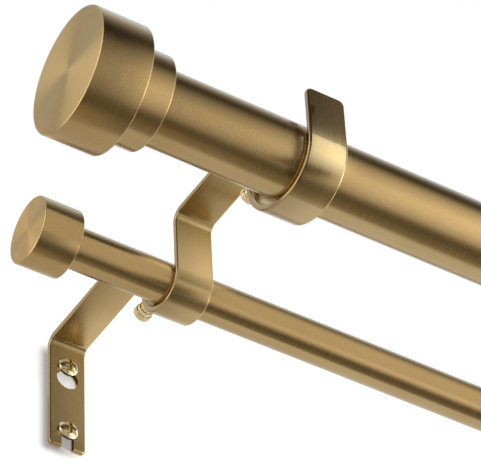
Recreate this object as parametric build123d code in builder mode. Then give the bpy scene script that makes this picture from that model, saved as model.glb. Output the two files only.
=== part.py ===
"""Double curtain pole: two telescopic poles on two bent-strip wall brackets.

Frame: X runs along the poles, -Y points out of the wall into the room, and +Z is up. The wall is the plane
Y = 0, and the origin is the middle of the four wall screws. Lengths are in millimetres.
"""
import os
from math import sqrt

from build123d import *

os.makedirs("parts", exist_ok=True)

# Poles
front_pole_d = 28.0
rear_pole_d = 16.0
front_tube_wall = 1.0
rear_tube_wall = 0.8
front_inner_d = 25.0
rear_inner_d = 13.4
overall_length = 711.0
rear_setback = 31.0

# Finials of the front pole and caps of the rear pole
finial_rim_d = 48.0
finial_rim_length = 20.2
finial_collar_d = 35.6
finial_collar_length = 12.4
rear_cap_d = 26.5
rear_cap_length = 16.2
front_socket_depth = 12.0
rear_socket_depth = 10.0
socket_clearance = 0.05
turned_edge_r = 0.7

# Plugs in the pole ends, and the studs that hold the finials on them
plug_length = 14.0
plug_clearance = 0.05
front_stud_d = 6.0
rear_stud_d = 5.0
front_stud_grip = 7.0
rear_stud_grip = 4.0
stud_clearance = 0.05

# Bushes and guide rings of the telescopic joints
bush_length = 12.0
bush_flange = 1.2
guide_length = 10.0
plug_to_inner_tube = 20.0
running_clearance = 0.05
end_gap = 0.5

# Bracket strip
strip_width = 16.0
strip_thickness = 2.3
strip_edge_r = 0.9
bend_inner_r = 3.0
shoulder_r = 22.0
bracket_inset = 95.5
front_projection = 167.0
rear_projection = 85.0
cradle_clearance = 0.05
front_cradle_back_r = 23.0
rear_cradle_back_r = 12.8
tab_corner_r = 2.6
prong_corner_r = 2.0

# Heights above the middle of the wall screws
front_pole_z = -17.2
rear_pole_z = -9.3
rear_arm_top_z = 29.6
front_arm_top_z = 19.3
plate_bottom_z = -24.4
tab_top_z = 6.2

# Wall screws, with the keyhole and the open slot that they sit in
screw_spacing_z = 32.0
screw_shank_d = 4.0
screw_neck_d = 3.2
screw_length = 32.0
screw_tip_length = 6.0
screw_head_d = 8.4
screw_head_height = 2.8
screw_head_rim = 0.9
recess_width = 1.3
recess_span = 5.6
recess_depth = 1.9
recess_taper = 12.0
slot_width = 5.4
keyhole_d = 9.4
keyhole_drop = 5.8

# Thumbscrews
thread_d = 5.0
thread_clearance = 0.05
thread_chamfer = 0.6
thumb_hub_d = 5.4
thumb_hub_length = 1.8
thumb_shoulder_d = 6.2
thumb_shoulder_length = 1.8
thumb_head_d = 7.0
thumb_head_length = 2.4
thumb_head_edge = 0.25
knurl_count = 20
knurl_groove_r = 0.3
front_thumb_rise = 15.8
rear_thumb_rise = 9.8
front_thread_length = 25.6
rear_thread_length = 19.3
contact_gap = 0.02

# Places worked out from the sizes above
sides = {"left": -1, "right": 1}
bracket_x = overall_length / 2 - bracket_inset
front_r = front_pole_d / 2
rear_r = rear_pole_d / 2
front_y = -front_projection
rear_y = -rear_projection
bend_outer_r = bend_inner_r + strip_thickness
screw_z = screw_spacing_z / 2


def save(piece, label):
    """Labels a finished piece and writes its STEP file."""
    piece.part.label = label
    export_step(piece.part, f"parts/{label}.step")


def make_tube(label, x_start, x_end, y, z, outer_r, inner_r):
    """A round tube along X: a pole, a plug or a guide ring."""
    with BuildPart() as tube:
        with BuildSketch(Plane.YZ.offset(x_start)):
            with Locations((y, z)):
                Circle(outer_r)
                Circle(inner_r, mode=Mode.SUBTRACT)
        extrude(amount=x_end - x_start)
    save(tube, label)


def make_turned_end(label, side, x_face, y, z, steps, socket_r, socket_depth, stud_r, stud_grip):
    """A finial or cap, turned about X. Its steps are (length, radius), from the outer face inwards."""
    length = sum(step[0] for step in steps)
    with BuildPart() as end:
        with BuildSketch(Plane(origin=(x_face, y, z), x_dir=(-side, 0, 0), z_dir=(0, -1, 0))) as profile:
            reach = 0
            for step_length, radius in steps:
                with Locations((reach, 0)):
                    Rectangle(step_length, radius, align=(Align.MIN, Align.MIN))
                reach += step_length
            fillet(profile.vertices().group_by(Axis.Y)[-1], turned_edge_r)
            end_corner = profile.vertices().group_by(Axis.X)[-1].sort_by(Axis.Y)[-1]
            if len(steps) > 1:
                fillet(end_corner, turned_edge_r)
            with Locations((length - socket_depth, 0)):
                Rectangle(socket_depth, socket_r, align=(Align.MIN, Align.MIN), mode=Mode.SUBTRACT)
            with Locations((length - socket_depth - stud_grip, 0)):
                Rectangle(stud_grip, stud_r, align=(Align.MIN, Align.MIN), mode=Mode.SUBTRACT)
        revolve(axis=Axis((x_face, y, z), (1, 0, 0)))
    save(end, label)


def make_stud(label, x_middle, y, z, stud_d, stud_grip):
    """The headless stud between a finial and its plug."""
    with BuildPart() as stud:
        with BuildSketch(Plane.YZ.offset(x_middle)):
            with Locations((y, z)):
                Circle(stud_d / 2)
        extrude(amount=stud_grip, both=True)
        chamfer(stud.edges().filter_by(GeomType.CIRCLE), thread_chamfer)
    save(stud, label)


def make_bush(label, x_mouth, y, z, outer_r, tube_bore_r, inner_r):
    """The flanged liner in the mouth of an outer tube. Its flange closes the mouth at x_mouth."""
    with BuildPart() as bush:
        with BuildSketch(Plane.YZ.offset(x_mouth)):
            with Locations((y, z)):
                Circle(outer_r)
        extrude(amount=bush_flange)
        with BuildSketch(Plane.YZ.offset(x_mouth)):
            with Locations((y, z)):
                Circle(tube_bore_r - plug_clearance)
        extrude(amount=-bush_length)
        with BuildSketch(Plane.YZ.offset(x_mouth + bush_flange)):
            with Locations((y, z)):
                Circle(inner_r + running_clearance)
        extrude(amount=-bush_flange - bush_length, mode=Mode.SUBTRACT)
    save(bush, label)


def make_pole(name, y, z, outer_r, wall, inner_d, x_face, steps, socket_depth, stud_d, stud_grip):
    """One telescopic pole with its two ends, plugs, studs, bush and guide ring."""
    bore_r = outer_r - wall
    inner_r = inner_d / 2
    end_length = sum(step[0] for step in steps)
    x_socket = x_face - end_length + socket_depth
    x_mouth = x_face - end_length - end_gap - bush_flange
    x_inner_start = -x_socket + plug_length + plug_to_inner_tube
    make_tube(f"{name}_outer_tube", -x_socket, x_mouth, y, z, outer_r, bore_r)
    make_tube(f"{name}_inner_tube", x_inner_start, x_socket, y, z, inner_r, inner_r - wall)
    make_bush(f"{name}_bush", x_mouth, y, z, outer_r, bore_r, inner_r)
    guide_inner_r = inner_r + plug_clearance
    guide_outer_r = bore_r - running_clearance
    make_tube(f"{name}_guide_ring", x_inner_start, x_inner_start + guide_length, y, z, guide_outer_r, guide_inner_r)
    stud_bore_r = stud_d / 2 + stud_clearance
    for place, side in sides.items():
        tube_r = outer_r if side < 0 else inner_r
        plug_r = tube_r - wall - plug_clearance
        plug_start = -x_socket if side < 0 else x_socket - plug_length
        make_turned_end(f"{name}_finial_{place}", side, side * x_face, y, z, steps,
                        tube_r + socket_clearance, socket_depth, stud_bore_r, stud_grip)
        make_tube(f"{name}_plug_{place}", plug_start, plug_start + plug_length, y, z, plug_r, stud_bore_r)
        make_stud(f"{name}_stud_{place}", side * x_socket, y, z, stud_d, stud_grip)


def thumb_tip_y(pole_y, pole_r, rise):
    """Where the tip of a thumbscrew meets the back of its pole."""
    corner = sqrt(pole_r**2 - (rise - thread_d / 2) ** 2) - thread_chamfer
    flat = sqrt(pole_r**2 - (rise - thread_d / 2 + thread_chamfer) ** 2)
    return pole_y + max(corner, flat) + contact_gap


def make_bracket(label, x):
    """A wall bracket, bent from one strip: plate, arm, rear cradle, riser, arm, front cradle and tab."""
    front_cradle_r = front_r + cradle_clearance
    rear_cradle_r = rear_r + cradle_clearance
    rear_wall_y = rear_y + rear_cradle_back_r
    front_wall_y = front_y + front_cradle_back_r
    riser_y = rear_y - rear_cradle_r
    rear_wall_end_z = rear_pole_z - rear_cradle_r + rear_cradle_back_r
    front_wall_end_z = front_pole_z - front_cradle_r + front_cradle_back_r
    with BuildPart() as bracket:
        with BuildSketch(Plane.YZ.offset(x - strip_width / 2)):
            with BuildLine() as back_side:
                plate = Line((0, plate_bottom_z), (0, rear_arm_top_z - bend_outer_r))
                wall_bend = JernArc(plate @ 1, plate % 1, bend_outer_r, 90)
                arm = Line(wall_bend @ 1, (rear_wall_y + shoulder_r, rear_arm_top_z))
                shoulder = JernArc(arm @ 1, arm % 1, shoulder_r, 90)
                back_wall = Line(shoulder @ 1, (rear_wall_y, rear_wall_end_z))
                back_arc = JernArc(back_wall @ 1, back_wall % 1, rear_cradle_back_r, -90)
                front_arc = JernArc(back_arc @ 1, back_arc % 1, rear_cradle_r, -90)
                riser = Line(front_arc @ 1, (riser_y, front_arm_top_z - bend_outer_r))
                riser_bend = JernArc(riser @ 1, riser % 1, bend_outer_r, 90)
                long_arm = Line(riser_bend @ 1, (front_wall_y + shoulder_r, front_arm_top_z))
                long_shoulder = JernArc(long_arm @ 1, long_arm % 1, shoulder_r, 90)
                long_wall = Line(long_shoulder @ 1, (front_wall_y, front_wall_end_z))
                long_back_arc = JernArc(long_wall @ 1, long_wall % 1, front_cradle_back_r, -90)
                long_front_arc = JernArc(long_back_arc @ 1, long_back_arc % 1, front_cradle_r, -90)
                Line(long_front_arc @ 1, (front_y - front_cradle_r, tab_top_z))
                offset(amount=strip_thickness, side=Side.LEFT)
            make_face()
        extrude(amount=strip_width)
        end_corners = bracket.edges().filter_by(lambda edge: abs(edge.length - strip_thickness) < strip_edge_r)
        fillet(end_corners.filter_by(Axis.Y).group_by(Axis.Y)[0], tab_corner_r)
        end_corners = bracket.edges().filter_by(lambda edge: abs(edge.length - strip_thickness) < strip_edge_r)
        fillet(end_corners.filter_by(Axis.Y).group_by(Axis.Y)[-1], prong_corner_r)
        long_edges = bracket.faces().filter_by(Axis.X).edges()
        fillet(long_edges.filter_by(lambda edge: edge.length > 2 * strip_thickness), strip_edge_r)
        with BuildSketch(Plane.XZ):
            with Locations((x, screw_z)):
                Circle(slot_width / 2)
            with Locations((x, screw_z - keyhole_drop)):
                Circle(keyhole_d / 2)
                Rectangle(slot_width, keyhole_drop, align=(Align.CENTER, Align.MIN))
            with Locations((x, -screw_z)):
                Circle(slot_width / 2)
                Rectangle(slot_width, -screw_z - plate_bottom_z, align=(Align.CENTER, Align.MAX))
        extrude(amount=strip_thickness, mode=Mode.SUBTRACT)
        for wall_y, hole_z in ((front_wall_y, front_pole_z + front_thumb_rise),
                               (rear_wall_y, rear_pole_z + rear_thumb_rise)):
            with BuildSketch(Plane.XZ.offset(-wall_y)):
                with Locations((x, hole_z)):
                    Circle(thread_d / 2 + thread_clearance)
            extrude(amount=-2 * strip_thickness, mode=Mode.SUBTRACT)
    save(bracket, label)


def make_thumbscrew(label, x, tip_y, z, thread_length):
    """A knurled thumbscrew whose tip points into the room, against the back of its pole."""
    hub_y = tip_y + thread_length
    shoulder_y = hub_y + thumb_hub_length
    head_y = shoulder_y + thumb_shoulder_length
    with BuildPart() as thumbscrew:
        for start_y, length, diameter in ((tip_y, thread_length, thread_d),
                                          (hub_y, thumb_hub_length, thumb_hub_d),
                                          (shoulder_y, thumb_shoulder_length, thumb_shoulder_d),
                                          (head_y, thumb_head_length, thumb_head_d)):
            with BuildSketch(Plane.XZ.offset(-start_y)):
                with Locations((x, z)):
                    Circle(diameter / 2)
            extrude(amount=-length)
        rims = thumbscrew.edges().filter_by(GeomType.CIRCLE).sort_by(Axis.Y)
        chamfer(rims[0], thread_chamfer)
        chamfer(thumbscrew.edges().filter_by(GeomType.CIRCLE).sort_by(Axis.Y)[-1], thumb_head_edge)
        with BuildSketch(Plane.XZ.offset(-head_y)):
            with Locations((x, z)):
                with PolarLocations(thumb_head_d / 2, knurl_count):
                    Circle(knurl_groove_r)
        extrude(amount=-thumb_head_length, mode=Mode.SUBTRACT)
    save(thumbscrew, label)


def make_wall_screw(label, x, z):
    """A pan-head wood screw with a cross recess. Its thread is in the wall, and its plain neck in the plate."""
    head_y = -strip_thickness
    head_r = screw_head_d / 2
    shank_r = screw_shank_d / 2
    neck_r = screw_neck_d / 2
    point_y = head_y + screw_length
    with BuildPart() as screw:
        with BuildSketch(Plane(origin=(x, 0, z), x_dir=(1, 0, 0), z_dir=(0, 0, 1))):
            with BuildLine():
                Polyline((0, head_y - screw_head_height), (0, point_y), (shank_r, point_y - screw_tip_length),
                         (shank_r, 0), (neck_r, 0), (neck_r, head_y), (head_r, head_y),
                         (head_r, head_y - screw_head_rim))
                TangentArc((0, head_y - screw_head_height), (head_r, head_y - screw_head_rim), tangent=(1, 0))
            make_face()
        revolve(axis=Axis((x, 0, z), (0, 1, 0)))
        with BuildSketch(Plane.XZ.offset(screw_head_height - head_y)):
            with Locations((x, z)):
                Rectangle(recess_span, recess_width)
                Rectangle(recess_width, recess_span)
        extrude(amount=-recess_depth, taper=recess_taper, mode=Mode.SUBTRACT)
    save(screw, label)


make_pole("front", front_y, front_pole_z, front_r, front_tube_wall, front_inner_d, overall_length / 2,
          [(finial_rim_length, finial_rim_d / 2), (finial_collar_length, finial_collar_d / 2)],
          front_socket_depth, front_stud_d, front_stud_grip)
make_pole("rear", rear_y, rear_pole_z, rear_r, rear_tube_wall, rear_inner_d, overall_length / 2 - rear_setback,
          [(rear_cap_length, rear_cap_d / 2)], rear_socket_depth, rear_stud_d, rear_stud_grip)
for place, side in sides.items():
    make_bracket(f"bracket_{place}", side * bracket_x)
    make_thumbscrew(f"front_thumbscrew_{place}", side * bracket_x, thumb_tip_y(front_y, front_r, front_thumb_rise),
                    front_pole_z + front_thumb_rise, front_thread_length)
    make_thumbscrew(f"rear_thumbscrew_{place}", side * bracket_x, thumb_tip_y(rear_y, rear_r, rear_thumb_rise),
                    rear_pole_z + rear_thumb_rise, rear_thread_length)
    make_wall_screw(f"wall_screw_{place}_upper", side * bracket_x, screw_z)
    make_wall_screw(f"wall_screw_{place}_lower", side * bracket_x, -screw_z)
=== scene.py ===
"""Looks and studio of a double curtain pole: two telescopic poles on two bent-strip wall brackets.

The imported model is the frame, in metres: X along the poles, -Y into the room, +Z up, and the wall at Y = 0.
"""
import math

import bmesh
import bpy
from mathutils import Matrix, Vector


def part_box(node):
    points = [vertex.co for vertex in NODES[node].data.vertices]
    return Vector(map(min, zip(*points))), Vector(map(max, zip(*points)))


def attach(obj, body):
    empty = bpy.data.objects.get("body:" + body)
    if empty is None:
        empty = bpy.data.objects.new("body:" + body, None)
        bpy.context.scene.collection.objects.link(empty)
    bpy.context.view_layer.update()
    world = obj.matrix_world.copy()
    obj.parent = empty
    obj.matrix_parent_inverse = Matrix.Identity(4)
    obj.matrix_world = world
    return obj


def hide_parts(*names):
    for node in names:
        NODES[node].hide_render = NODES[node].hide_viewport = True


bl_info = {
    "name": "Double curtain pole",
    "version": (1, 0, 0),
    "blender": (4, 5, 0),
    "location": "3D View > Sidebar > Curtain Pole",
    "description": "Finishes the double curtain pole and builds its studio",
    "category": "Add Mesh",
}

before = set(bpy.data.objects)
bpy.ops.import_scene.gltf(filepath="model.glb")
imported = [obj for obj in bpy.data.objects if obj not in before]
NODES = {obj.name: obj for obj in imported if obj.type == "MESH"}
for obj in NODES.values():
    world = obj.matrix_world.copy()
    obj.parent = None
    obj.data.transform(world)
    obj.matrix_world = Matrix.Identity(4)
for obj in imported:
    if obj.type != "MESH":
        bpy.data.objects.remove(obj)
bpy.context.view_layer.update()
SIDES = {"left": -1, "right": 1}
PER_MM = 1000.0

# Places of the colour sockets on a Mix node
MIX_A, MIX_B, MIX_RESULT = 6, 7, 2

# The range that noise spends its time in
NOISE_LOW, NOISE_HIGH = 0.3, 0.7

# A quarter turn, so that highlights stretch across marks that run round the pole
ANISOTROPIC_TURN = 0.25

# How far the tone goes at the strongest brush mark or ring
MARK_SHARE, RING_SHARE = 0.35, 0.5

# How far the roughness strays from its setting, at the weakest and at the strongest mark
BRUSHED_STRAY, SPUN_STRAY = (-0.04, 0.06), (-0.03, 0.03)
STRIP_STRAY, BRIGHT_STRAY = (-0.03, 0.03), (0.0, 0.08)

# Half the width of a bracket's strip, in millimetres
STRIP_HALF_WIDTH = 8.0

# The bright plating: its warm tone as shares of its pale one, and how strongly its unevenness shows
WARM_TONE, SMEAR_STRENGTH = (1.0, 0.9, 0.72), 0.2

# The nylon's roughness, its pale tone as a multiple of its dark one, and the strength and depth in metres of
# its moulded grain
NYLON_ROUGHNESS, NYLON_PALE = (0.42, 0.6), 2
NYLON_STRENGTH, NYLON_DEPTH = 0.3, 0.00002

# The steel's roughness, its dull tone as a share of its bright one, and its clouds per millimetre
STEEL_ROUGHNESS, STEEL_DULL, STEEL_CLOUDS = (0.25, 0.4), 0.8, 1.5

# Turned pieces: points round the axis, steps round an edge, the radius and the depth that count as none, and
# the angle from which an edge stays sharp
TURNED_POINTS, EDGE_STEPS = 128, 5
NO_RADIUS, NO_DEPTH, SHARP_ANGLE = 1e-7, 1e-6, math.radians(28)

# A thread's points in a turn and round its ridge
THREAD_POINTS, RIDGE_POINTS = 28, 6

# The wall's place: y, left, right, bottom, top
WALL_PLACE = (0, -0.43, 0.43, -0.25, 0.13)

# A plate's painted shadow on the wall: how fast it ends behind the plate against its fade outside, and a half
# depth beyond the wall's, so that Y plays no part
INSIDE_SLOPE, FAR = 0.7, 1

# The reflector: points round its drum, half its length, and where along X its left end and its right side
# brighten
DRUM_POINTS, DRUM_REACH = 96, 4.0
END_START, END_FULL = -1.1, -1.3
SIDE_START, SIDE_FULL = 0.35, 0.9

# The dark hoop that paints shade on the front pole, in angles above straight out into the room, and its cloth
HOOP_START, HOOP_END, HOOP_STEPS = math.radians(-75), math.radians(62), 32
HOOP_COLOUR = (0.07, 0.045, 0.02)

# The key lamp's place, the point that it looks at, and the side of its square
KEY_PLACE, KEY_TARGET, KEY_SIZE = (0.9, -1.6, 1.5), (-0.2, -0.05, 0), 0.9

# The camera's sensor in millimetres, and how near and how far it sees in metres
SENSOR_WIDTH, CLIP_NEAR, CLIP_FAR = 36.0, 0.01, 50.0


def colour_setting(name, description, default):
    """A colour on the panel."""
    return bpy.props.FloatVectorProperty(name=name, description=description, size=3, subtype="COLOR",
                                         min=0, max=1, default=default)


def number_setting(name, description, default, **limits):
    """A number on the panel."""
    return bpy.props.FloatProperty(name=name, description=description, default=default, **limits)


def share_setting(name, description, default):
    """A number from 0 to 1 on the panel."""
    return number_setting(name, description, default, min=0, max=1)


def length_setting(name, description, default, precision=4):
    """A length in metres on the panel."""
    return number_setting(name, description, default, unit="LENGTH", precision=precision)


def angle_setting(name, description, degrees):
    """An angle on the panel."""
    return number_setting(name, description, math.radians(degrees), subtype="ANGLE")


class PoleSettings(bpy.types.PropertyGroup):
    """Colours and brush marks of the gold plating."""
    gold: colour_setting("Gold", "Colour of the brushed plating", (0.48, 0.345, 0.165))
    deep_gold: colour_setting("Deep gold", "Darker tone in the plating", (0.44, 0.308, 0.140))
    mark_contrast: number_setting("Mark contrast", "Brightness of a brush mark", 1.10, min=1)
    mark_strength: share_setting("Mark strength", "Strength of the brush marks", 0.2)
    mark_depth: length_setting("Mark depth", "Depth of the brush marks", 0.000003, 6)
    marks_per_mm: number_setting("Marks per millimetre", "Brush marks across the grain", 2.6, min=0.1)
    marks_along: number_setting("Marks along", "Brush marks per millimetre along the grain", 0.16, min=0.01)
    cloud_scale: number_setting("Cloud scale", "Broad tone changes per millimetre", 0.03, min=0)
    roughness: share_setting("Roughness", "Roughness of the brushed plating", 0.24)
    anisotropy: share_setting("Anisotropy", "How far the grain stretches a highlight", 0.45)
    face_anisotropy: share_setting("Face anisotropy", "Stretch on the spun faces", 0.8)
    face_roughness: share_setting("Face roughness", "Roughness of the spun faces", 0.44)
    ring_scale: number_setting("Rings per millimetre", "Spun rings on a finial's face", 3.0, min=0.1)
    ring_drift: number_setting("Ring drift", "How quickly a ring changes round the face", 0.12, min=0)
    strip_gold: colour_setting("Strip gold", "Colour of the bracket's plating", (0.49, 0.360, 0.178))
    strip_roughness: share_setting("Strip roughness", "Roughness of the bracket's plating", 0.28)
    strip_marks_along: number_setting("Strip marks along", "Marks per millimetre down a strip", 0.03,
                                      min=0.01)
    # Painted shade: how far a strip's colour is darkened towards its left edge, and half as far lightened
    # towards its right
    strip_painted_shade: share_setting("Strip shade", "How far a strip's left side is darker", 0.22)


class FinialSettings(bpy.types.PropertyGroup):
    """Sizes of the turned finials and caps."""
    rim_length: length_setting("Rim length", "Length of a front finial's rim", 0.0202)
    collar_diameter: length_setting("Collar diameter", "Diameter of a front finial's collar", 0.0356)
    edge_radius: length_setting("Edge radius", "Rounding of a turned edge", 0.0007, 5)
    front_socket: length_setting("Front socket", "Depth of a front finial's socket", 0.012)
    rear_socket: length_setting("Rear socket", "Depth of a rear cap's socket", 0.010)
    clearance: length_setting("Clearance", "Radial clearance round a pole", 0.00005, 6)


class FastenerSettings(bpy.types.PropertyGroup):
    """Colours of the screws and of the hidden fittings, and the wall screws' thread."""
    plate_colour: colour_setting("Plate colour", "Colour of the bright plating", (0.78, 0.71, 0.50))
    plate_roughness: share_setting("Plate roughness", "Roughness of the bright plating", 0.06)
    smear_scale: number_setting("Smear scale", "Uneven plating per millimetre", 0.6, min=0)
    smear_depth: length_setting("Smear depth", "Depth of the uneven plating", 0.00004, 6)
    shank_radius: length_setting("Shank radius", "Radius of a wall screw's shank", 0.002)
    thread_ridge: length_setting("Thread ridge", "Height of a wall screw's thread", 0.00035, 5)
    thread_pitch: length_setting("Thread pitch", "Step of a wall screw's thread", 0.0018)
    thread_tip: length_setting("Thread tip", "Length of a wall screw's point", 0.006)
    bare_tip: length_setting("Bare tip", "Length without thread at the end of the point", 0.001)
    nylon_colour: colour_setting("Nylon colour", "Colour of the nylon fittings", (0.018, 0.018, 0.019))
    nylon_grain: number_setting("Nylon grain", "Moulded grain per millimetre", 3.0, min=0)
    steel_colour: colour_setting("Steel colour", "Colour of the studs", (0.52, 0.52, 0.50))


class StageSettings(bpy.types.PropertyGroup):
    """Camera, lamp and surroundings."""
    camera_place: bpy.props.FloatVectorProperty(
        name="Camera place", description="Where the camera stands", size=3, subtype="TRANSLATION",
        unit="LENGTH", default=(-0.7474, -0.8394, -0.8381))
    turn: angle_setting("Turn", "How far the camera looks to the right of the wall's normal", 34.332)
    rise: angle_setting("Rise", "How far the camera looks up", 43.671)
    roll: angle_setting("Roll", "How far the camera is turned about its line of sight", -3.008)
    lens: number_setting("Lens", "Focal length in millimetres", 249.2, min=1)
    wall_glow: number_setting("Wall glow", "Light that the wall gives by itself to the view", 0.62, min=0)
    fill: number_setting("Fill", "Strength of the surrounding light", 0.45, min=0)
    key_power: number_setting("Key power", "Power of the key lamp", 8.0, unit="POWER")
    tent_radius: length_setting("Tent radius", "Radius of the reflector round the poles", 0.8)
    tent_left: length_setting("Tent left", "Where the left bands of the reflector end", -0.09)
    tent_right: length_setting("Tent right", "Where the right bands of the reflector begin", 0.12)
    end_level: number_setting("End level", "Brightness of the reflector's left end", 2.0, min=0)
    side_level: number_setting("Side level", "Brightness of the reflector's right end", 3.0, min=0)
    # The dark hoop that paints shade into the front pole's reflection beside its cradle
    hoop_ratio: number_setting("Hoop ratio", "Size of the dark hoop against its pole", 1.55, min=1)
    hoop_width: length_setting("Hoop width", "Width of the dark hoop along its pole", 0.0032)
    # Painted shadow on the wall round each plate: how dark it is, its share behind a plate, where a plate ends
    # and bends, and how far it spreads
    painted_shadow_depth: share_setting("Shade depth", "How dark the wall is beside a plate", 0.60)
    covered_painted_shadow: share_setting("Covered shade", "Share of that shade behind a plate", 0.35)
    plate_bottom: length_setting("Plate bottom", "Where a plate ends on the wall", -0.0244)
    bend_height: length_setting("Bend height", "Where a plate bends away from the wall", 0.027)
    painted_shadow_reach: length_setting("Shade reach", "How far a plate's shade spreads on the wall", 0.0065)
    warm_light: colour_setting("Warm light", "Tint of the light from the room", (1.0, 0.94, 0.85))


def middle_of(node):
    """Centre of a CAD node's box."""
    low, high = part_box(node)
    return (Vector(low) + Vector(high)) / 2


def size_of(node):
    """Edge lengths of a CAD node's box."""
    low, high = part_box(node)
    return Vector(high) - Vector(low)


def new_object(name, data):
    """A new object in the scene."""
    thing = bpy.data.objects.new(name, data)
    bpy.context.scene.collection.objects.link(thing)
    return thing


def add(tree, kind, inputs=None, **settings):
    """Adds a node, with its settings, and links or fills its inputs."""
    node = tree.nodes.new(kind)
    for name, value in settings.items():
        setattr(node, name, value)
    for socket, value in (inputs or {}).items():
        if isinstance(value, bpy.types.NodeSocket):
            tree.links.new(value, node.inputs[socket])
        else:
            node.inputs[socket].default_value = value
    return node


def maths(tree, operation, *values):
    """The result of an operation on values, each a socket or a number."""
    return add(tree, "ShaderNodeMath", dict(enumerate(values)), operation=operation).outputs["Value"]


def vector_maths(tree, operation, *vectors):
    """The result of an operation on vectors: a value for LENGTH, and else a vector."""
    node = add(tree, "ShaderNodeVectorMath", dict(enumerate(vectors)), operation=operation)
    return node.outputs["Value" if operation == "LENGTH" else "Vector"]


def scaled(tree, vector, scale):
    """A vector or colour multiplied by a value."""
    return add(tree, "ShaderNodeVectorMath", {0: vector, "Scale": scale}, operation="SCALE").outputs["Vector"]


def parts_of(tree, vector):
    """The X, Y and Z of a vector."""
    return add(tree, "ShaderNodeSeparateXYZ", {"Vector": vector}).outputs


def vector_of(tree, **parts):
    """A vector of its X, Y and Z. One that is left out is 0."""
    return add(tree, "ShaderNodeCombineXYZ", parts).outputs["Vector"]


def mapped(tree, value, start, end, low=0.0, high=1.0, shape="LINEAR"):
    """A value that runs from low to high as another runs from start to end, and holds beyond them."""
    node = add(tree, "ShaderNodeMapRange", {"Value": value, "From Min": start, "From Max": end, "To Min": low,
                                            "To Max": high}, interpolation_type=shape)
    return node.outputs["Result"]


def object_place(tree):
    """Object coordinates, which are the scene's on a piece at the origin."""
    return add(tree, "ShaderNodeTexCoord").outputs["Object"]


def millimetres(tree, centre=(0, 0, 0), stretch=(1, 1, 1)):
    """Object coordinates in millimetres about a centre, with each axis stretched for a grain."""
    scale = [PER_MM * part for part in stretch]
    shift = [-middle * part for middle, part in zip(centre, scale)]
    mapping = add(tree, "ShaderNodeMapping", {"Vector": object_place(tree), "Location": shift,
                                              "Scale": scale})
    return mapping.outputs["Vector"]


def noise(tree, vector, scale, detail=2.0, roughness=0.5):
    """Fractal noise from 0 to 1."""
    node = add(tree, "ShaderNodeTexNoise", {"Vector": vector, "Scale": scale, "Detail": detail,
                                            "Roughness": roughness})
    return node.outputs["Fac"]


def between(tree, factor, low, high):
    """A value that runs from low to high as noise runs through its usual range."""
    return mapped(tree, factor, NOISE_LOW, NOISE_HIGH, low, high)


def strayed(tree, factor, middle, stray):
    """A value that noise leads away from its middle."""
    return between(tree, factor, middle + stray[0], middle + stray[1])


def tint(tree, factor, first, second):
    """A colour between two colours, each a socket or plain numbers."""
    first, second = (part if isinstance(part, bpy.types.NodeSocket) else (*part, 1)
                     for part in (first, second))
    node = add(tree, "ShaderNodeMix", {0: factor, MIX_A: first, MIX_B: second}, data_type="RGBA")
    return node.outputs[MIX_RESULT]


def empty_material(name):
    """A material with nothing in its node tree."""
    material = bpy.data.materials.new(name)
    material.use_nodes = True
    material.node_tree.nodes.clear()
    return material, material.node_tree


def show(tree, shader):
    """Makes a shader the surface of its material."""
    add(tree, "ShaderNodeOutputMaterial", {"Surface": shader})


def new_material(name, metallic=1.0):
    """A material with its main shader, a metal unless told otherwise."""
    material, tree = empty_material(name)
    shader = add(tree, "ShaderNodeBsdfPrincipled", {"Metallic": metallic})
    show(tree, shader.outputs["BSDF"])
    return material, tree, shader


def finish_surface(tree, shader, colour, roughness, height=None, strength=0.0, depth=0.0):
    """Gives a main shader its colour, its roughness and, where there is a height, its relief."""
    tree.links.new(colour, shader.inputs["Base Color"])
    tree.links.new(roughness, shader.inputs["Roughness"])
    if height is not None:
        bump = add(tree, "ShaderNodeBump", {"Height": height, "Strength": strength, "Distance": depth})
        tree.links.new(bump.outputs["Normal"], shader.inputs["Normal"])


def stretch_highlights(tree, metal, anisotropy):
    """Stretches a metal's highlights across marks that run round the X axis."""
    tangent = add(tree, "ShaderNodeTangent", direction_type="RADIAL", axis="X")
    metal.inputs["Anisotropic"].default_value = anisotropy
    metal.inputs["Anisotropic Rotation"].default_value = ANISOTROPIC_TURN
    tree.links.new(tangent.outputs["Tangent"], metal.inputs["Tangent"])


def brushed_gold(name, settings, centre):
    """Gold plate with fine brush marks round the X axis."""
    material, tree, metal = new_material(name)
    grain = (settings.marks_per_mm, settings.marks_along, settings.marks_along)
    marks = noise(tree, millimetres(tree, centre, grain), 1.0, detail=3.0, roughness=0.65)
    clouds = noise(tree, millimetres(tree, centre), settings.cloud_scale)
    toned = tint(tree, between(tree, clouds, 0.0, 1.0), settings.gold, settings.deep_gold)
    light = [min(1.0, part * settings.mark_contrast) for part in settings.gold]
    colour = tint(tree, between(tree, marks, 0.0, MARK_SHARE), toned, light)
    finish_surface(tree, metal, colour, strayed(tree, marks, settings.roughness, BRUSHED_STRAY),
                   marks, settings.mark_strength, settings.mark_depth)
    stretch_highlights(tree, metal, settings.anisotropy)
    return material


def spun_gold(name, settings, centre):
    """The turned face of a finial: fine rings about the pole's axis."""
    material, tree, metal = new_material(name)
    place = parts_of(tree, millimetres(tree, centre))
    flat = vector_of(tree, Y=place["Y"], Z=place["Z"])
    outwards = maths(tree, "MULTIPLY", vector_maths(tree, "LENGTH", flat), settings.ring_scale)
    wander = parts_of(tree, scaled(tree, flat, settings.ring_drift))
    seat = vector_of(tree, X=outwards, Y=wander["Y"], Z=wander["Z"])
    rings = noise(tree, seat, 1.0, detail=3.0, roughness=0.6)
    colour = tint(tree, between(tree, rings, 0.0, RING_SHARE), settings.gold, settings.deep_gold)
    finish_surface(tree, metal, colour, strayed(tree, rings, settings.face_roughness, SPUN_STRAY),
                   rings, settings.mark_strength, settings.mark_depth)
    stretch_highlights(tree, metal, settings.face_anisotropy)
    return material


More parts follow.
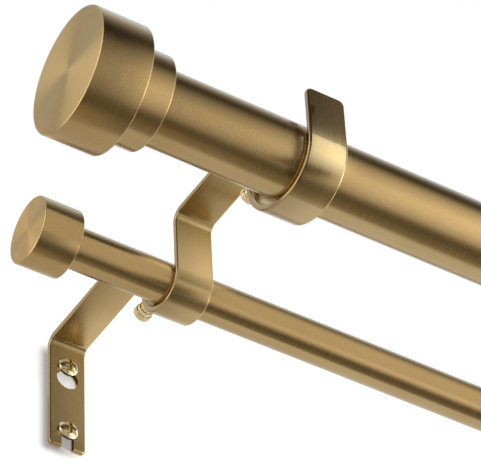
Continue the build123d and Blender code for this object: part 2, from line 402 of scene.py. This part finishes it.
def strip_gold(name, settings, centre):
    """Gold plate of a bent strip: marks down the strip, painted shade to its left edge, painted light to its
    right.
    """
    material, tree, metal = new_material(name)
    grain = (settings.marks_per_mm, settings.strip_marks_along, settings.strip_marks_along)
    marks = noise(tree, millimetres(tree, centre, grain), 1.0, detail=3.0, roughness=0.6)
    place = parts_of(tree, millimetres(tree, centre))
    # Painted shade and painted light: the strip's colour darkens towards its left edge and brightens towards its
    # right
    across = mapped(tree, place["X"], -STRIP_HALF_WIDTH, STRIP_HALF_WIDTH, 1 - settings.strip_painted_shade,
                    1 + settings.strip_painted_shade / 2, shape="SMOOTHSTEP")
    light = [min(1.0, part * settings.mark_contrast) for part in settings.strip_gold]
    plain = tint(tree, between(tree, marks, 0.0, 1.0), settings.strip_gold, light)
    finish_surface(tree, metal, scaled(tree, plain, across),
                   strayed(tree, marks, settings.strip_roughness, STRIP_STRAY),
                   marks, settings.mark_strength, settings.mark_depth / 2)
    return material


def polished_gold(settings):
    """Bright plating of the wall screws and thumbscrews."""
    material, tree, metal = new_material("polished_gold_plate")
    clouds = noise(tree, millimetres(tree), settings.smear_scale, detail=3.0)
    warm = [part * share for part, share in zip(settings.plate_colour, WARM_TONE)]
    colour = tint(tree, between(tree, clouds, 0.0, 1.0), settings.plate_colour, warm)
    finish_surface(tree, metal, colour, strayed(tree, clouds, settings.plate_roughness, BRIGHT_STRAY),
                   clouds, SMEAR_STRENGTH, settings.smear_depth)
    return material


def black_nylon(settings):
    """Matt moulded nylon of the bushes, guide rings and plugs."""
    material, tree, plastic = new_material("moulded_black_nylon", metallic=0.0)
    grain = noise(tree, millimetres(tree), settings.nylon_grain, detail=4.0, roughness=0.6)
    pale = [part * NYLON_PALE for part in settings.nylon_colour]
    finish_surface(tree, plastic, tint(tree, grain, settings.nylon_colour, pale),
                   between(tree, grain, *NYLON_ROUGHNESS), grain, NYLON_STRENGTH, NYLON_DEPTH)
    return material


def plain_steel(settings):
    """Zinc-bright steel of the studs."""
    material, tree, metal = new_material("plain_steel_stud")
    clouds = noise(tree, millimetres(tree), STEEL_CLOUDS, detail=3.0)
    dull = [part * STEEL_DULL for part in settings.steel_colour]
    finish_surface(tree, metal, tint(tree, clouds, settings.steel_colour, dull),
                   between(tree, clouds, *STEEL_ROUGHNESS))
    return material


def finish_node(node, material):
    """Gives a CAD node its material."""
    mesh = NODES[node].data
    mesh.materials.clear()
    mesh.materials.append(material)


def mesh_object(name, form, materials):
    """Makes an object at the origin from a bmesh, with its faces outwards and its smooth shading."""
    mesh = bpy.data.meshes.new(name)
    bmesh.ops.recalc_face_normals(form, faces=form.faces)
    form.to_mesh(mesh)
    form.free()
    for material in materials:
        mesh.materials.append(material)
    piece = new_object(name, mesh)
    mesh.shade_smooth()
    mesh.set_sharp_from_angle(angle=SHARP_ANGLE)
    return piece


def rounded(corners, radii):
    """An outline in the plane with each corner rounded by its radius. Radius 0 keeps a corner sharp."""
    outline = []
    for index, radius in enumerate(radii):
        corner = Vector(corners[index])
        if not radius:
            outline.append(corner)
            continue
        before = (Vector(corners[index - 1]) - corner).normalized()
        after = (Vector(corners[(index + 1) % len(corners)]) - corner).normalized()
        half = before.angle(after) / 2
        reach = radius / math.tan(half)
        centre = corner + (before + after).normalized() * (radius / math.sin(half))
        start = corner + before * reach - centre
        end = corner + after * reach - centre
        sweep = start.angle_signed(end)
        for step in range(EDGE_STEPS + 1):
            turn = Matrix.Rotation(-sweep * step / EDGE_STEPS, 2)
            outline.append(centre + turn @ start)
    return outline


def turned(name, outline, centre, axis, materials, slot_of):
    """A piece turned about an axis through a centre.

    Its outline of (along the axis, radius) starts and ends on the axis. slot_of gives a face's material from
    the two outline points that it lies between.
    """
    form = bmesh.new()
    along = Vector(axis)
    across = along.orthogonal().normalized()
    over = along.cross(across)
    turns = [math.tau * step / TURNED_POINTS for step in range(TURNED_POINTS)]
    rings = []
    for reach, radius in outline:
        middle = Vector(centre) + along * reach
        if radius < NO_RADIUS:
            rings.append([form.verts.new(middle)] * TURNED_POINTS)
        else:
            rings.append([form.verts.new(middle + (across * math.cos(turn) + over * math.sin(turn)) * radius)
                          for turn in turns])
    for index in range(len(rings) - 1):
        first, second = rings[index], rings[index + 1]
        for step in range(TURNED_POINTS):
            following = (step + 1) % TURNED_POINTS
            corners = []
            for vert in (first[step], first[following], second[following], second[step]):
                if vert not in corners:
                    corners.append(vert)
            form.faces.new(corners).material_index = slot_of(outline[index], outline[index + 1])
    return mesh_object(name, form, materials)


def turned_end(name, body, steps, socket_radius, socket_depth, node, side, edge, materials):
    """A finial or cap in place of its node. Its steps are (length, radius), from the outer face inwards."""
    low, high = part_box(node)
    centre = middle_of(node)
    face = Vector((low[0] if side < 0 else high[0], centre.y, centre.z))
    corners, radii, reach = [(0.0, 0.0)], [0], 0.0
    for length, radius in steps:
        corners += [(reach, radius), (reach + length, radius)]
        radii += [edge, edge]
        reach += length
    corners += [(reach, socket_radius), (reach - socket_depth, socket_radius), (reach - socket_depth, 0.0)]
    radii += [edge / 3, 0, 0]

    def slot_of(first, second):
        """1 on the flat outer face, and 0 elsewhere."""
        return 1 if max(first[0], second[0]) < NO_DEPTH else 0

    finial = turned(name, rounded(corners, radii), face, (-side, 0, 0), materials, slot_of)
    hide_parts(node)
    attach(finial, body)


class CURTAINPOLE_OT_poles(bpy.types.Operator):
    """Finish the tubes of both poles"""
    bl_idname = "curtain_pole.poles"
    bl_label = "Poles"

    def execute(self, context):
        settings = context.scene.curtain_pole_finish
        for pole in ("front", "rear"):
            centre = middle_of(f"{pole}_outer_tube")
            material = brushed_gold(f"brushed_gold_{pole}_pole", settings, centre)
            for tube in ("outer_tube", "inner_tube"):
                finish_node(f"{pole}_{tube}", material)
        return {"FINISHED"}


class CURTAINPOLE_OT_finials(bpy.types.Operator):
    """Turn the front finials and the rear caps"""
    bl_idname = "curtain_pole.finials"
    bl_label = "Finials"

    def execute(self, context):
        finish = context.scene.curtain_pole_finish
        sizes = context.scene.curtain_pole_finials
        for place, side in SIDES.items():
            for pole in ("front", "rear"):
                node = f"{pole}_finial_{place}"
                box = size_of(node)
                tube = size_of(f"{pole}_{'outer' if side < 0 else 'inner'}_tube")
                if pole == "front":
                    steps = [(sizes.rim_length, box.y / 2),
                             (box.x - sizes.rim_length, sizes.collar_diameter / 2)]
                    socket = sizes.front_socket
                else:
                    steps = [(box.x, box.y / 2)]
                    socket = sizes.rear_socket
                centre = middle_of(node)
                materials = [brushed_gold(f"brushed_gold_{node}", finish, centre),
                             spun_gold(f"spun_gold_{node}", finish, centre)]
                body = "wall_frame" if side < 0 else f"{pole}_extension"
                turned_end(f"{node}_turned", body, steps, tube.y / 2 + sizes.clearance, socket, node, side,
                           sizes.edge_radius, materials)
        return {"FINISHED"}


class CURTAINPOLE_OT_brackets(bpy.types.Operator):
    """Finish the bent-strip wall brackets"""
    bl_idname = "curtain_pole.brackets"
    bl_label = "Brackets"

    def execute(self, context):
        settings = context.scene.curtain_pole_finish
        for place in SIDES:
            node = f"bracket_{place}"
            # The brackets' plating carries painted shade and painted light across each strip
            finish_node(node, strip_gold(f"brushed_gold_{node}", settings, middle_of(node)))
        return {"FINISHED"}


def spiral(tree, turns, start_radius, end_radius, height):
    """A curve that winds round the Z axis."""
    node = add(tree, "GeometryNodeCurveSpiral", {"Resolution": THREAD_POINTS, "Rotations": turns,
                                                 "Start Radius": start_radius, "End Radius": end_radius,
                                                 "Height": height})
    return node.outputs["Curve"]


def screw_thread_nodes(material):
    """Geometry nodes that wind a thread, with its tapered end, from each point of a mesh into the wall."""
    tree = bpy.data.node_groups.new("screw_thread", "GeometryNodeTree")
    tree.is_modifier = True
    tree.interface.new_socket("Geometry", in_out="INPUT", socket_type="NodeSocketGeometry")
    for name in ("Radius", "Ridge", "Length", "Turns", "Tip Length", "Tip Turns"):
        tree.interface.new_socket(name, in_out="INPUT", socket_type="NodeSocketFloat")
    tree.interface.new_socket("Geometry", in_out="OUTPUT", socket_type="NodeSocketGeometry")
    given = add(tree, "NodeGroupInput").outputs
    along = spiral(tree, given["Turns"], given["Radius"], given["Radius"], given["Length"])
    point = spiral(tree, given["Tip Turns"], given["Radius"], given["Ridge"], given["Tip Length"])
    start = add(tree, "ShaderNodeCombineXYZ", {"Z": given["Length"]})
    moved = add(tree, "GeometryNodeTransform", {"Geometry": point, "Translation": start.outputs["Vector"]})
    both = add(tree, "GeometryNodeJoinGeometry")
    for part in (moved.outputs["Geometry"], along):
        tree.links.new(part, both.inputs["Geometry"])
    profile = add(tree, "GeometryNodeCurvePrimitiveCircle", {"Resolution": RIDGE_POINTS,
                                                             "Radius": given["Ridge"]})
    ridge = add(tree, "GeometryNodeCurveToMesh", {"Curve": both.outputs["Geometry"], "Fill Caps": True,
                                                  "Profile Curve": profile.outputs["Curve"]})
    inwards = add(tree, "GeometryNodeTransform", {"Geometry": ridge.outputs["Mesh"],
                                                  "Rotation": (-math.pi / 2, 0.0, 0.0)})
    seated = add(tree, "GeometryNodeInstanceOnPoints", {"Points": given["Geometry"],
                                                        "Instance": inwards.outputs["Geometry"]})
    real = add(tree, "GeometryNodeRealizeInstances", {"Geometry": seated.outputs["Instances"]})
    painted = add(tree, "GeometryNodeSetMaterial", {"Geometry": real.outputs["Geometry"],
                                                    "Material": material})
    add(tree, "NodeGroupOutput", {"Geometry": painted.outputs["Geometry"]})
    return tree


def set_input(modifier, name, value):
    """Sets a geometry nodes input by its socket's identifier."""
    for item in modifier.node_group.interface.items_tree:
        if item.item_type == "SOCKET" and item.in_out == "INPUT" and item.name == name:
            modifier[item.identifier] = value
            return
    raise RuntimeError(f"The thread has no input called {name}")


def wall_screw_threads(settings, material):
    """The wood threads of the four wall screws, wound round their shanks behind the wall."""
    seats, reaches = [], []
    for node in sorted(NODES):
        if node.startswith("wall_screw"):
            low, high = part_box(node)
            centre = middle_of(node)
            seats.append((centre.x, settings.thread_ridge, centre.z))
            reaches.append(high[1])
    mesh = bpy.data.meshes.new("thread_seats")
    mesh.from_pydata(seats, [], [])
    seat = new_object("thread_seats", mesh)
    modifier = seat.modifiers.new("thread", "NODES")
    modifier.node_group = screw_thread_nodes(material)
    length = reaches[0] - settings.thread_tip - settings.thread_ridge
    values = {
        "Radius": settings.shank_radius,
        "Ridge": settings.thread_ridge,
        "Length": length,
        "Turns": float(round(length / settings.thread_pitch)),
        "Tip Length": settings.thread_tip - settings.bare_tip,
        "Tip Turns": float(round(settings.thread_tip / settings.thread_pitch)),
    }
    for name, value in values.items():
        set_input(modifier, name, value)
    whole = bpy.data.meshes.new_from_object(seat.evaluated_get(bpy.context.evaluated_depsgraph_get()))
    bpy.data.objects.remove(seat)
    threads = new_object("wall_screw_threads", whole)
    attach(threads, "wall_frame")


class CURTAINPOLE_OT_fasteners(bpy.types.Operator):
    """Finish the screws and the inner fittings"""
    bl_idname = "curtain_pole.fasteners"
    bl_label = "Fasteners"

    def execute(self, context):
        settings = context.scene.curtain_pole_fasteners
        bright = polished_gold(settings)
        wall_screw_threads(settings, bright)
        nylon = black_nylon(settings)
        steel = plain_steel(settings)
        for node in NODES:
            if "screw" in node:
                finish_node(node, bright)
            elif "stud" in node:
                finish_node(node, steel)
            elif "bush" in node or "guide" in node or "plug" in node:
                finish_node(node, nylon)
        return {"FINISHED"}


def only_reflected(piece):
    """Hides a stage piece from all but reflections."""
    piece.visible_camera = False
    piece.visible_diffuse = False
    piece.visible_shadow = False
    piece.visible_transmission = False


def stage_sheet(name, corners, material):
    """A flat stage surface through four corners."""
    mesh = bpy.data.meshes.new(name)
    mesh.from_pydata(corners, [], [tuple(range(len(corners)))])
    mesh.materials.append(material)
    sheet = new_object(name, mesh)
    return sheet


def standing_sheet(y, left, right, bottom, top):
    """Corners of an upright sheet that faces the room."""
    return [(left, y, bottom), (right, y, bottom), (right, y, top), (left, y, top)]


def lying_sheet(z, left, right, near, far):
    """Corners of a level sheet that faces up."""
    return [(left, near, z), (right, near, z), (right, far, z), (left, far, z)]


def glow_of(tree, colour, strength=1.0):
    """Light that a surface gives, with its colour and strength as sockets or numbers."""
    return add(tree, "ShaderNodeEmission", {"Color": colour, "Strength": strength}).outputs["Emission"]


def clear_of(tree):
    """Nothing at all, so that light goes through."""
    return add(tree, "ShaderNodeBsdfTransparent").outputs["BSDF"]


def two_sided(tree, front, back):
    """One shader on a sheet's front and another on its back."""
    behind = add(tree, "ShaderNodeNewGeometry").outputs["Backfacing"]
    return add(tree, "ShaderNodeMixShader", {0: behind, 1: front, 2: back}).outputs["Shader"]


def card_cloth(name, axis, start, end):
    """Glow of a studio card, seen only on its back. It runs between two (place, colour) along an axis."""
    material, tree = empty_material(name)
    along = mapped(tree, parts_of(tree, object_place(tree))[axis], start[0], end[0])
    show(tree, two_sided(tree, clear_of(tree), glow_of(tree, tint(tree, along, start[1], end[1]))))
    return material


def hoop_cloth(name, colour):
    """A surface of one brightness."""
    material, tree = empty_material(name)
    show(tree, glow_of(tree, (*colour, 1)))
    return material


def seen_rays(tree):
    """1 for rays of the camera, of reflections and of glass, and 0 for the light that falls on the object."""
    path = add(tree, "ShaderNodeLightPath").outputs
    first = maths(tree, "MAXIMUM", path["Is Camera Ray"], path["Is Glossy Ray"])
    return maths(tree, "MAXIMUM", first, path["Is Transmission Ray"])


def fade_to(tree, value, dark, clear):
    """1 where a value is at its dark end, and smoothly down to 0 at its clear end."""
    return mapped(tree, value, clear, dark, shape="SMOOTHSTEP")


def painted_plate_shadow(tree, node, settings):
    """Depth of a plate's painted shadow on the wall: 1 at its left and lower edges, 0 at its reach, less behind
    it.
    """
    low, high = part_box(node)
    low, high = Vector((low[0], 0, settings.plate_bottom)), Vector((high[0], 0, settings.bend_height))
    half = (high - low) / 2
    here = object_place(tree)
    offset = vector_maths(tree, "SUBTRACT", here, (low + high) / 2)
    over = vector_maths(tree, "SUBTRACT", vector_maths(tree, "ABSOLUTE", offset), (half.x, FAR, half.z))
    away = vector_maths(tree, "LENGTH", vector_maths(tree, "MAXIMUM", over))
    parts = parts_of(tree, over)
    deepest = maths(tree, "MAXIMUM", parts["X"], parts["Z"])
    inside = maths(tree, "MULTIPLY", maths(tree, "MINIMUM", deepest, 0.0), INSIDE_SLOPE)
    distance = maths(tree, "ABSOLUTE", maths(tree, "ADD", away, inside))
    near = fade_to(tree, distance, 0.0, settings.painted_shadow_reach)
    place = parts_of(tree, here)
    depth = mapped(tree, place["Z"], 0.0, low.z, settings.covered_painted_shadow, 3 * settings.covered_painted_shadow)
    covered = maths(tree, "MULTIPLY", fade_to(tree, deepest, -settings.painted_shadow_reach / 4, 0.0), depth)
    left = fade_to(tree, place["X"], low.x + half.x / 2, high.x)
    lower = fade_to(tree, place["Z"], high.z - settings.painted_shadow_reach, high.z)
    edge = maths(tree, "MULTIPLY", maths(tree, "MULTIPLY", near, near), maths(tree, "MULTIPLY", left, lower))
    return maths(tree, "MAXIMUM", edge, covered)


def pale_wall_with_painted_shadow(name, settings):
    """Matt white paint that lifts itself towards white, with the plates' shadows painted in, and open from
    behind.
    """
    material, tree = empty_material(name)
    # Painted shadow: the wall's paint colour and its glow are both darkened round each plate
    shade = maths(tree, "MAXIMUM", *(painted_plate_shadow(tree, f"bracket_{place}", settings) for place in SIDES))
    painted_light_level = mapped(tree, shade, 0.0, 1.0, 1.0, 1 - settings.painted_shadow_depth)
    white = vector_of(tree, X=painted_light_level, Y=painted_light_level, Z=painted_light_level)
    paint = add(tree, "ShaderNodeBsdfDiffuse", {"Color": white}).outputs["BSDF"]
    glow = maths(tree, "MULTIPLY", painted_light_level, settings.wall_glow)
    light = glow_of(tree, (1, 1, 1, 1), maths(tree, "MULTIPLY", seen_rays(tree), glow))
    front = add(tree, "ShaderNodeAddShader", {0: paint, 1: light}).outputs["Shader"]
    show(tree, two_sided(tree, front, clear_of(tree)))
    return material


# Bands of the reflector: the angle about the poles, from straight out into the room and upwards, the
# brightness at its left and at its right, and how warm the light is
TENT_BANDS = (
    (-180, 0.62, 0.85, -1.5), (-168, 0.78, 0.98, -2.0), (-149, 0.76, 1.10, -1.2), (-121, 0.64, 1.10, -0.5),
    (-109, 0.50, 0.30, 2.2), (-90, 0.42, 0.22, 2.6), (-72, 0.16, 0.14, 2.6), (-60, 0.16, 0.26, 1.8),
    (-48, 0.34, 0.85, 1.0), (-29, 0.50, 1.38, 1.0), (-9, 0.46, 1.70, 1.0), (11, 0.26, 1.25, 1.0),
    (22, 0.10, 0.95, 1.1), (32, 0.02, 0.50, 1.2), (43, 0.05, 0.06, 1.2), (57, 0.30, 0.10, 0.6),
    (71, 0.70, 0.34, -0.6), (86, 0.90, 0.80, -2.6), (110, 0.82, 0.85, -2.4), (131, 0.60, 0.66, -1.8),
    (152, 0.45, 0.60, -1.2), (180, 0.62, 0.85, -1.5),
)


def band_ramp(tree, share, side, settings):
    """The reflector's bands at one of its sides, 0 for the left and 1 for the right."""
    ramp = add(tree, "ShaderNodeValToRGB", {"Fac": share})
    elements = ramp.color_ramp.elements
    for degrees, *_ in TENT_BANDS[1:-1]:
        elements.new((degrees + 180) / 360)
    for element, (degrees, *levels, warmth) in zip(elements, TENT_BANDS):
        element.position = (degrees + 180) / 360
        element.color = (*(levels[side] * (1 + warmth * (part - 1)) for part in settings.warm_light), 1)
    return ramp.outputs["Color"]


def tent_material(name, settings):
    """Reflector that gives the metal its light and dark bands."""
    material, tree = empty_material(name)
    place = parts_of(tree, object_place(tree))
    angle = maths(tree, "ARCTAN2", place["Z"], maths(tree, "MULTIPLY", place["Y"], -1.0))
    share = mapped(tree, angle, -math.pi, math.pi)
    along = mapped(tree, place["X"], settings.tent_left, settings.tent_right)
    bands = tint(tree, along, band_ramp(tree, share, 0, settings), band_ramp(tree, share, 1, settings))
    at_end = mapped(tree, place["X"], END_START, END_FULL)
    at_side = mapped(tree, place["X"], SIDE_START, SIDE_FULL, 1.0, settings.side_level)
    show(tree, glow_of(tree, tint(tree, at_end, bands, [settings.end_level] * 3), at_side))
    return material


def reflector(settings):
    """A long open drum round the poles that only their reflections see."""
    form = bmesh.new()
    radius = settings.tent_radius
    turns = [math.tau * step / DRUM_POINTS for step in range(DRUM_POINTS)]
    left, right = ([form.verts.new((x, radius * math.cos(turn), radius * math.sin(turn))) for turn in turns]
                   for x in (-DRUM_REACH, DRUM_REACH))
    for step in range(DRUM_POINTS):
        following = (step + 1) % DRUM_POINTS
        form.faces.new((left[step], left[following], right[following], right[step]))
    drum = mesh_object("reflector_drum", form, [tent_material("reflector_bands", settings)])
    only_reflected(drum)


# Cards that only reflections see, lit on their backs: how they lie, their place (y or z, left, right, then
# bottom and top or near and far), and the axis of their fade with the place and colour at its two ends. One
# whose left and right are swapped is turned over.
CARDS = (
    ("end_card", "stands", (-0.02, -0.415, -0.60, 0.05, 0.40), "Z",
     (0.05, (0.62, 0.57, 0.42)), (0.40, (0.64, 0.59, 0.44))),
    ("lower_wall_card", "stands", (-0.0005, 0.43, -0.43, -0.25, 0.0), "X",
     (-0.24, (0.72, 0.675, 0.60)), (-0.14, (0.92, 0.93, 0.95))),
    ("upper_wall_card", "stands", (-0.0005, 0.43, -0.43, 0.0, 0.13), "X",
     (-0.33, (0.92, 0.80, 0.62)), (-0.22, (1.0, 1.02, 1.05))),
    ("pole_card", "stands", (-0.115, -0.335, 0.10, -0.030, 0.006), "X",
     (-0.3, (0.80, 0.75, 0.66)), (0.0, (1.10, 1.03, 0.92))),
    ("pole_top_card", "stands", (-0.115, -0.235, 0.10, 0.006, 0.045), "Z",
     (0.006, (0.85, 0.80, 0.70)), (0.030, (0.34, 0.31, 0.26))),
    ("riser_card", "lies", (0.0166, -0.268, -0.232, -0.150, -0.0975), "Y",
     (-0.121, (1.34, 1.27, 1.18)), (-0.099, (0.56, 0.50, 0.32))),
    ("plate_top_card", "lies", (0.0269, -0.268, -0.232, -0.060, -0.003), "Y",
     (-0.020, (0.46, 0.43, 0.36)), (-0.004, (0.44, 0.38, 0.26))),
    # A dark card at the left plate's holes: painted shade for the reflections in their inner sides
    ("hole_card", "stands", (-0.0006, -0.2555, -0.2650, -0.0235, 0.0175), "Z",
     (-0.02, (0.06, 0.04, 0.02)), (0.01, (0.06, 0.04, 0.02))),
    ("rear_cradle_top_card", "stands", (-0.1140, -0.2605, -0.2425, -0.018, -0.002), "Z",
     (-0.0140, (0.46, 0.44, 0.34)), (-0.0030, (0.80, 0.76, 0.62))),
    ("rear_cradle_card", "stands", (-0.1140, -0.2605, -0.2425, -0.030, -0.018), "Z",
     (-0.0300, (0.60, 0.56, 0.44)), (-0.0210, (1.00, 0.96, 0.82))),
    ("rear_cradle_floor_card", "stands", (-0.1140, -0.2605, -0.2425, -0.055, -0.030), "Z",
     (-0.0420, (0.14, 0.10, 0.05)), (-0.0300, (0.50, 0.45, 0.34))),
    ("plate_card", "stands", (-0.060, -0.250, -0.195, 0.035, 0.105), "X",
     (-0.236, (0.28, 0.27, 0.25)), (-0.210, (0.62, 0.60, 0.58))),
    ("cradle_card", "stands", (-0.1955, -0.2620, -0.2450, -0.0400, -0.0035), "Z",
     (-0.0400, (0.46, 0.46, 0.44)), (-0.0235, (2.0, 2.1, 2.15))),
    ("cradle_shade_card", "stands", (-0.1955, -0.2620, -0.2450, -0.065, -0.0400), "Z",
     (-0.056, (0.20, 0.15, 0.10)), (-0.044, (0.08, 0.06, 0.03))),
    ("arm_card", "lies", (0.0035, -0.225, -0.257, -0.150, -0.104), "Y",
     (-0.104, (0.46, 0.44, 0.36)), (-0.122, (0.98, 0.95, 0.82))),
    ("rear_arm_card", "lies", (0.0035, -0.225, -0.257, -0.0995, -0.062), "X",
     (-0.257, (0.50, 0.48, 0.40)), (-0.240, (0.66, 0.64, 0.54))),
)


def pole_shade_hoop(settings):
    """Narrow dark hoop before the front pole, over its cradle's left edge: painted shade, seen only in
    reflections.
    """
    tube = size_of("front_outer_tube")
    centre = middle_of("front_outer_tube")
    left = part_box("bracket_left")[0][0]
    radius = tube.y / 2 * settings.hoop_ratio
    form = bmesh.new()
    rows = []
    for step in range(HOOP_STEPS + 1):
        turn = HOOP_START + (HOOP_END - HOOP_START) * step / HOOP_STEPS
        y, z = centre.y - radius * math.cos(turn), centre.z + radius * math.sin(turn)
        rows.append([form.verts.new((x, y, z)) for x in (left, left + settings.hoop_width)])
    for first, second in zip(rows, rows[1:]):
        form.faces.new((first[0], first[1], second[1], second[0]))
    hoop = mesh_object("pole_shade_hoop", form, [hoop_cloth("clamp_flag_cloth", HOOP_COLOUR)])
    only_reflected(hoop)


def key_lamp(settings):
    """A square soft lamp out in the room that reflections don't see."""
    data = bpy.data.lights.new("key_lamp", "AREA")
    data.energy = settings.key_power
    data.size = KEY_SIZE
    lamp = new_object("key_lamp", data)
    lamp.location = KEY_PLACE
    lamp.rotation_mode = "QUATERNION"
    lamp.rotation_quaternion = (Vector(KEY_TARGET) - Vector(KEY_PLACE)).to_track_quat("-Z", "Y")
    lamp.visible_glossy = False


def surroundings(settings):
    """Plain white all round to the view, and weaker as light on the object."""
    world = bpy.data.worlds.new("surroundings")
    world.use_nodes = True
    bpy.context.scene.world = world
    tree = world.node_tree
    tree.nodes.clear()
    level = mapped(tree, seen_rays(tree), 0.0, 1.0, settings.fill, 1.0)
    light = add(tree, "ShaderNodeBackground", {"Color": (1, 1, 1, 1), "Strength": level})
    add(tree, "ShaderNodeOutputWorld", {"Surface": light.outputs["Background"]})


def camera(settings):
    """The camera at the photograph's view."""
    right = Vector((math.cos(settings.turn), -math.sin(settings.turn), 0))
    ahead = Vector((math.sin(settings.turn) * math.cos(settings.rise),
                    math.cos(settings.turn) * math.cos(settings.rise), math.sin(settings.rise)))
    over = right.cross(ahead)
    image_right = right * math.cos(settings.roll) + over * math.sin(settings.roll)
    image_up = over * math.cos(settings.roll) - right * math.sin(settings.roll)
    data = bpy.data.cameras.new("camera")
    data.sensor_width = SENSOR_WIDTH
    data.lens = settings.lens
    data.clip_start, data.clip_end = CLIP_NEAR, CLIP_FAR
    viewer = new_object("camera", data)
    viewer.rotation_mode = "QUATERNION"
    viewer.rotation_quaternion = Matrix((image_right, image_up, -ahead)).transposed().to_quaternion()
    viewer.location = settings.camera_place
    bpy.context.scene.camera = viewer


class CURTAINPOLE_OT_stage(bpy.types.Operator):
    """Build the wall, reflector, lamp and camera"""
    bl_idname = "curtain_pole.stage"
    bl_label = "Stage"

    def execute(self, context):
        settings = context.scene.curtain_pole_stage
        context.scene.view_settings.view_transform = "Standard"
        camera(settings)
        stage_sheet("wall", standing_sheet(*WALL_PLACE), pale_wall_with_painted_shadow("wall_paint_with_painted_shadow", settings))
        reflector(settings)
        for name, pose, place, *glow in CARDS:
            corners = standing_sheet(*place) if pose == "stands" else lying_sheet(*place)
            only_reflected(stage_sheet(name, corners, card_cloth(f"{name}_cloth", *glow)))
        pole_shade_hoop(settings)
        key_lamp(settings)
        surroundings(settings)
        return {"FINISHED"}


class CURTAINPOLE_PT_panel(bpy.types.Panel):
    """The curtain pole's sizes, colours and steps"""
    bl_idname = "CURTAINPOLE_PT_panel"
    bl_label = "Double curtain pole"
    bl_space_type = "VIEW_3D"
    bl_region_type = "UI"
    bl_category = "Curtain Pole"

    def draw(self, context):
        for group in SETTINGS:
            box = self.layout.box()
            settings = getattr(context.scene, group)
            for name in settings.__annotations__:
                box.prop(settings, name)
        for step in STEPS:
            self.layout.operator(step.bl_idname)


SETTINGS = {
    "curtain_pole_finish": PoleSettings,
    "curtain_pole_finials": FinialSettings,
    "curtain_pole_fasteners": FastenerSettings,
    "curtain_pole_stage": StageSettings,
}
STEPS = (CURTAINPOLE_OT_poles, CURTAINPOLE_OT_finials, CURTAINPOLE_OT_brackets, CURTAINPOLE_OT_fasteners,
         CURTAINPOLE_OT_stage)


def register():
    """Registers the settings, the steps and the panel."""
    for name, group in SETTINGS.items():
        bpy.utils.register_class(group)
        setattr(bpy.types.Scene, name, bpy.props.PointerProperty(type=group))
    for step in STEPS:
        bpy.utils.register_class(step)
    bpy.utils.register_class(CURTAINPOLE_PT_panel)


def unregister():
    """Removes what register added."""
    bpy.utils.unregister_class(CURTAINPOLE_PT_panel)
    for step in reversed(STEPS):
        bpy.utils.unregister_class(step)
    for name, group in SETTINGS.items():
        delattr(bpy.types.Scene, name)
        bpy.utils.unregister_class(group)


def main():
    register()
    bpy.ops.curtain_pole.poles()
    bpy.ops.curtain_pole.finials()
    bpy.ops.curtain_pole.brackets()
    bpy.ops.curtain_pole.fasteners()
    bpy.ops.curtain_pole.stage()


if __name__ == "__main__":
    main()
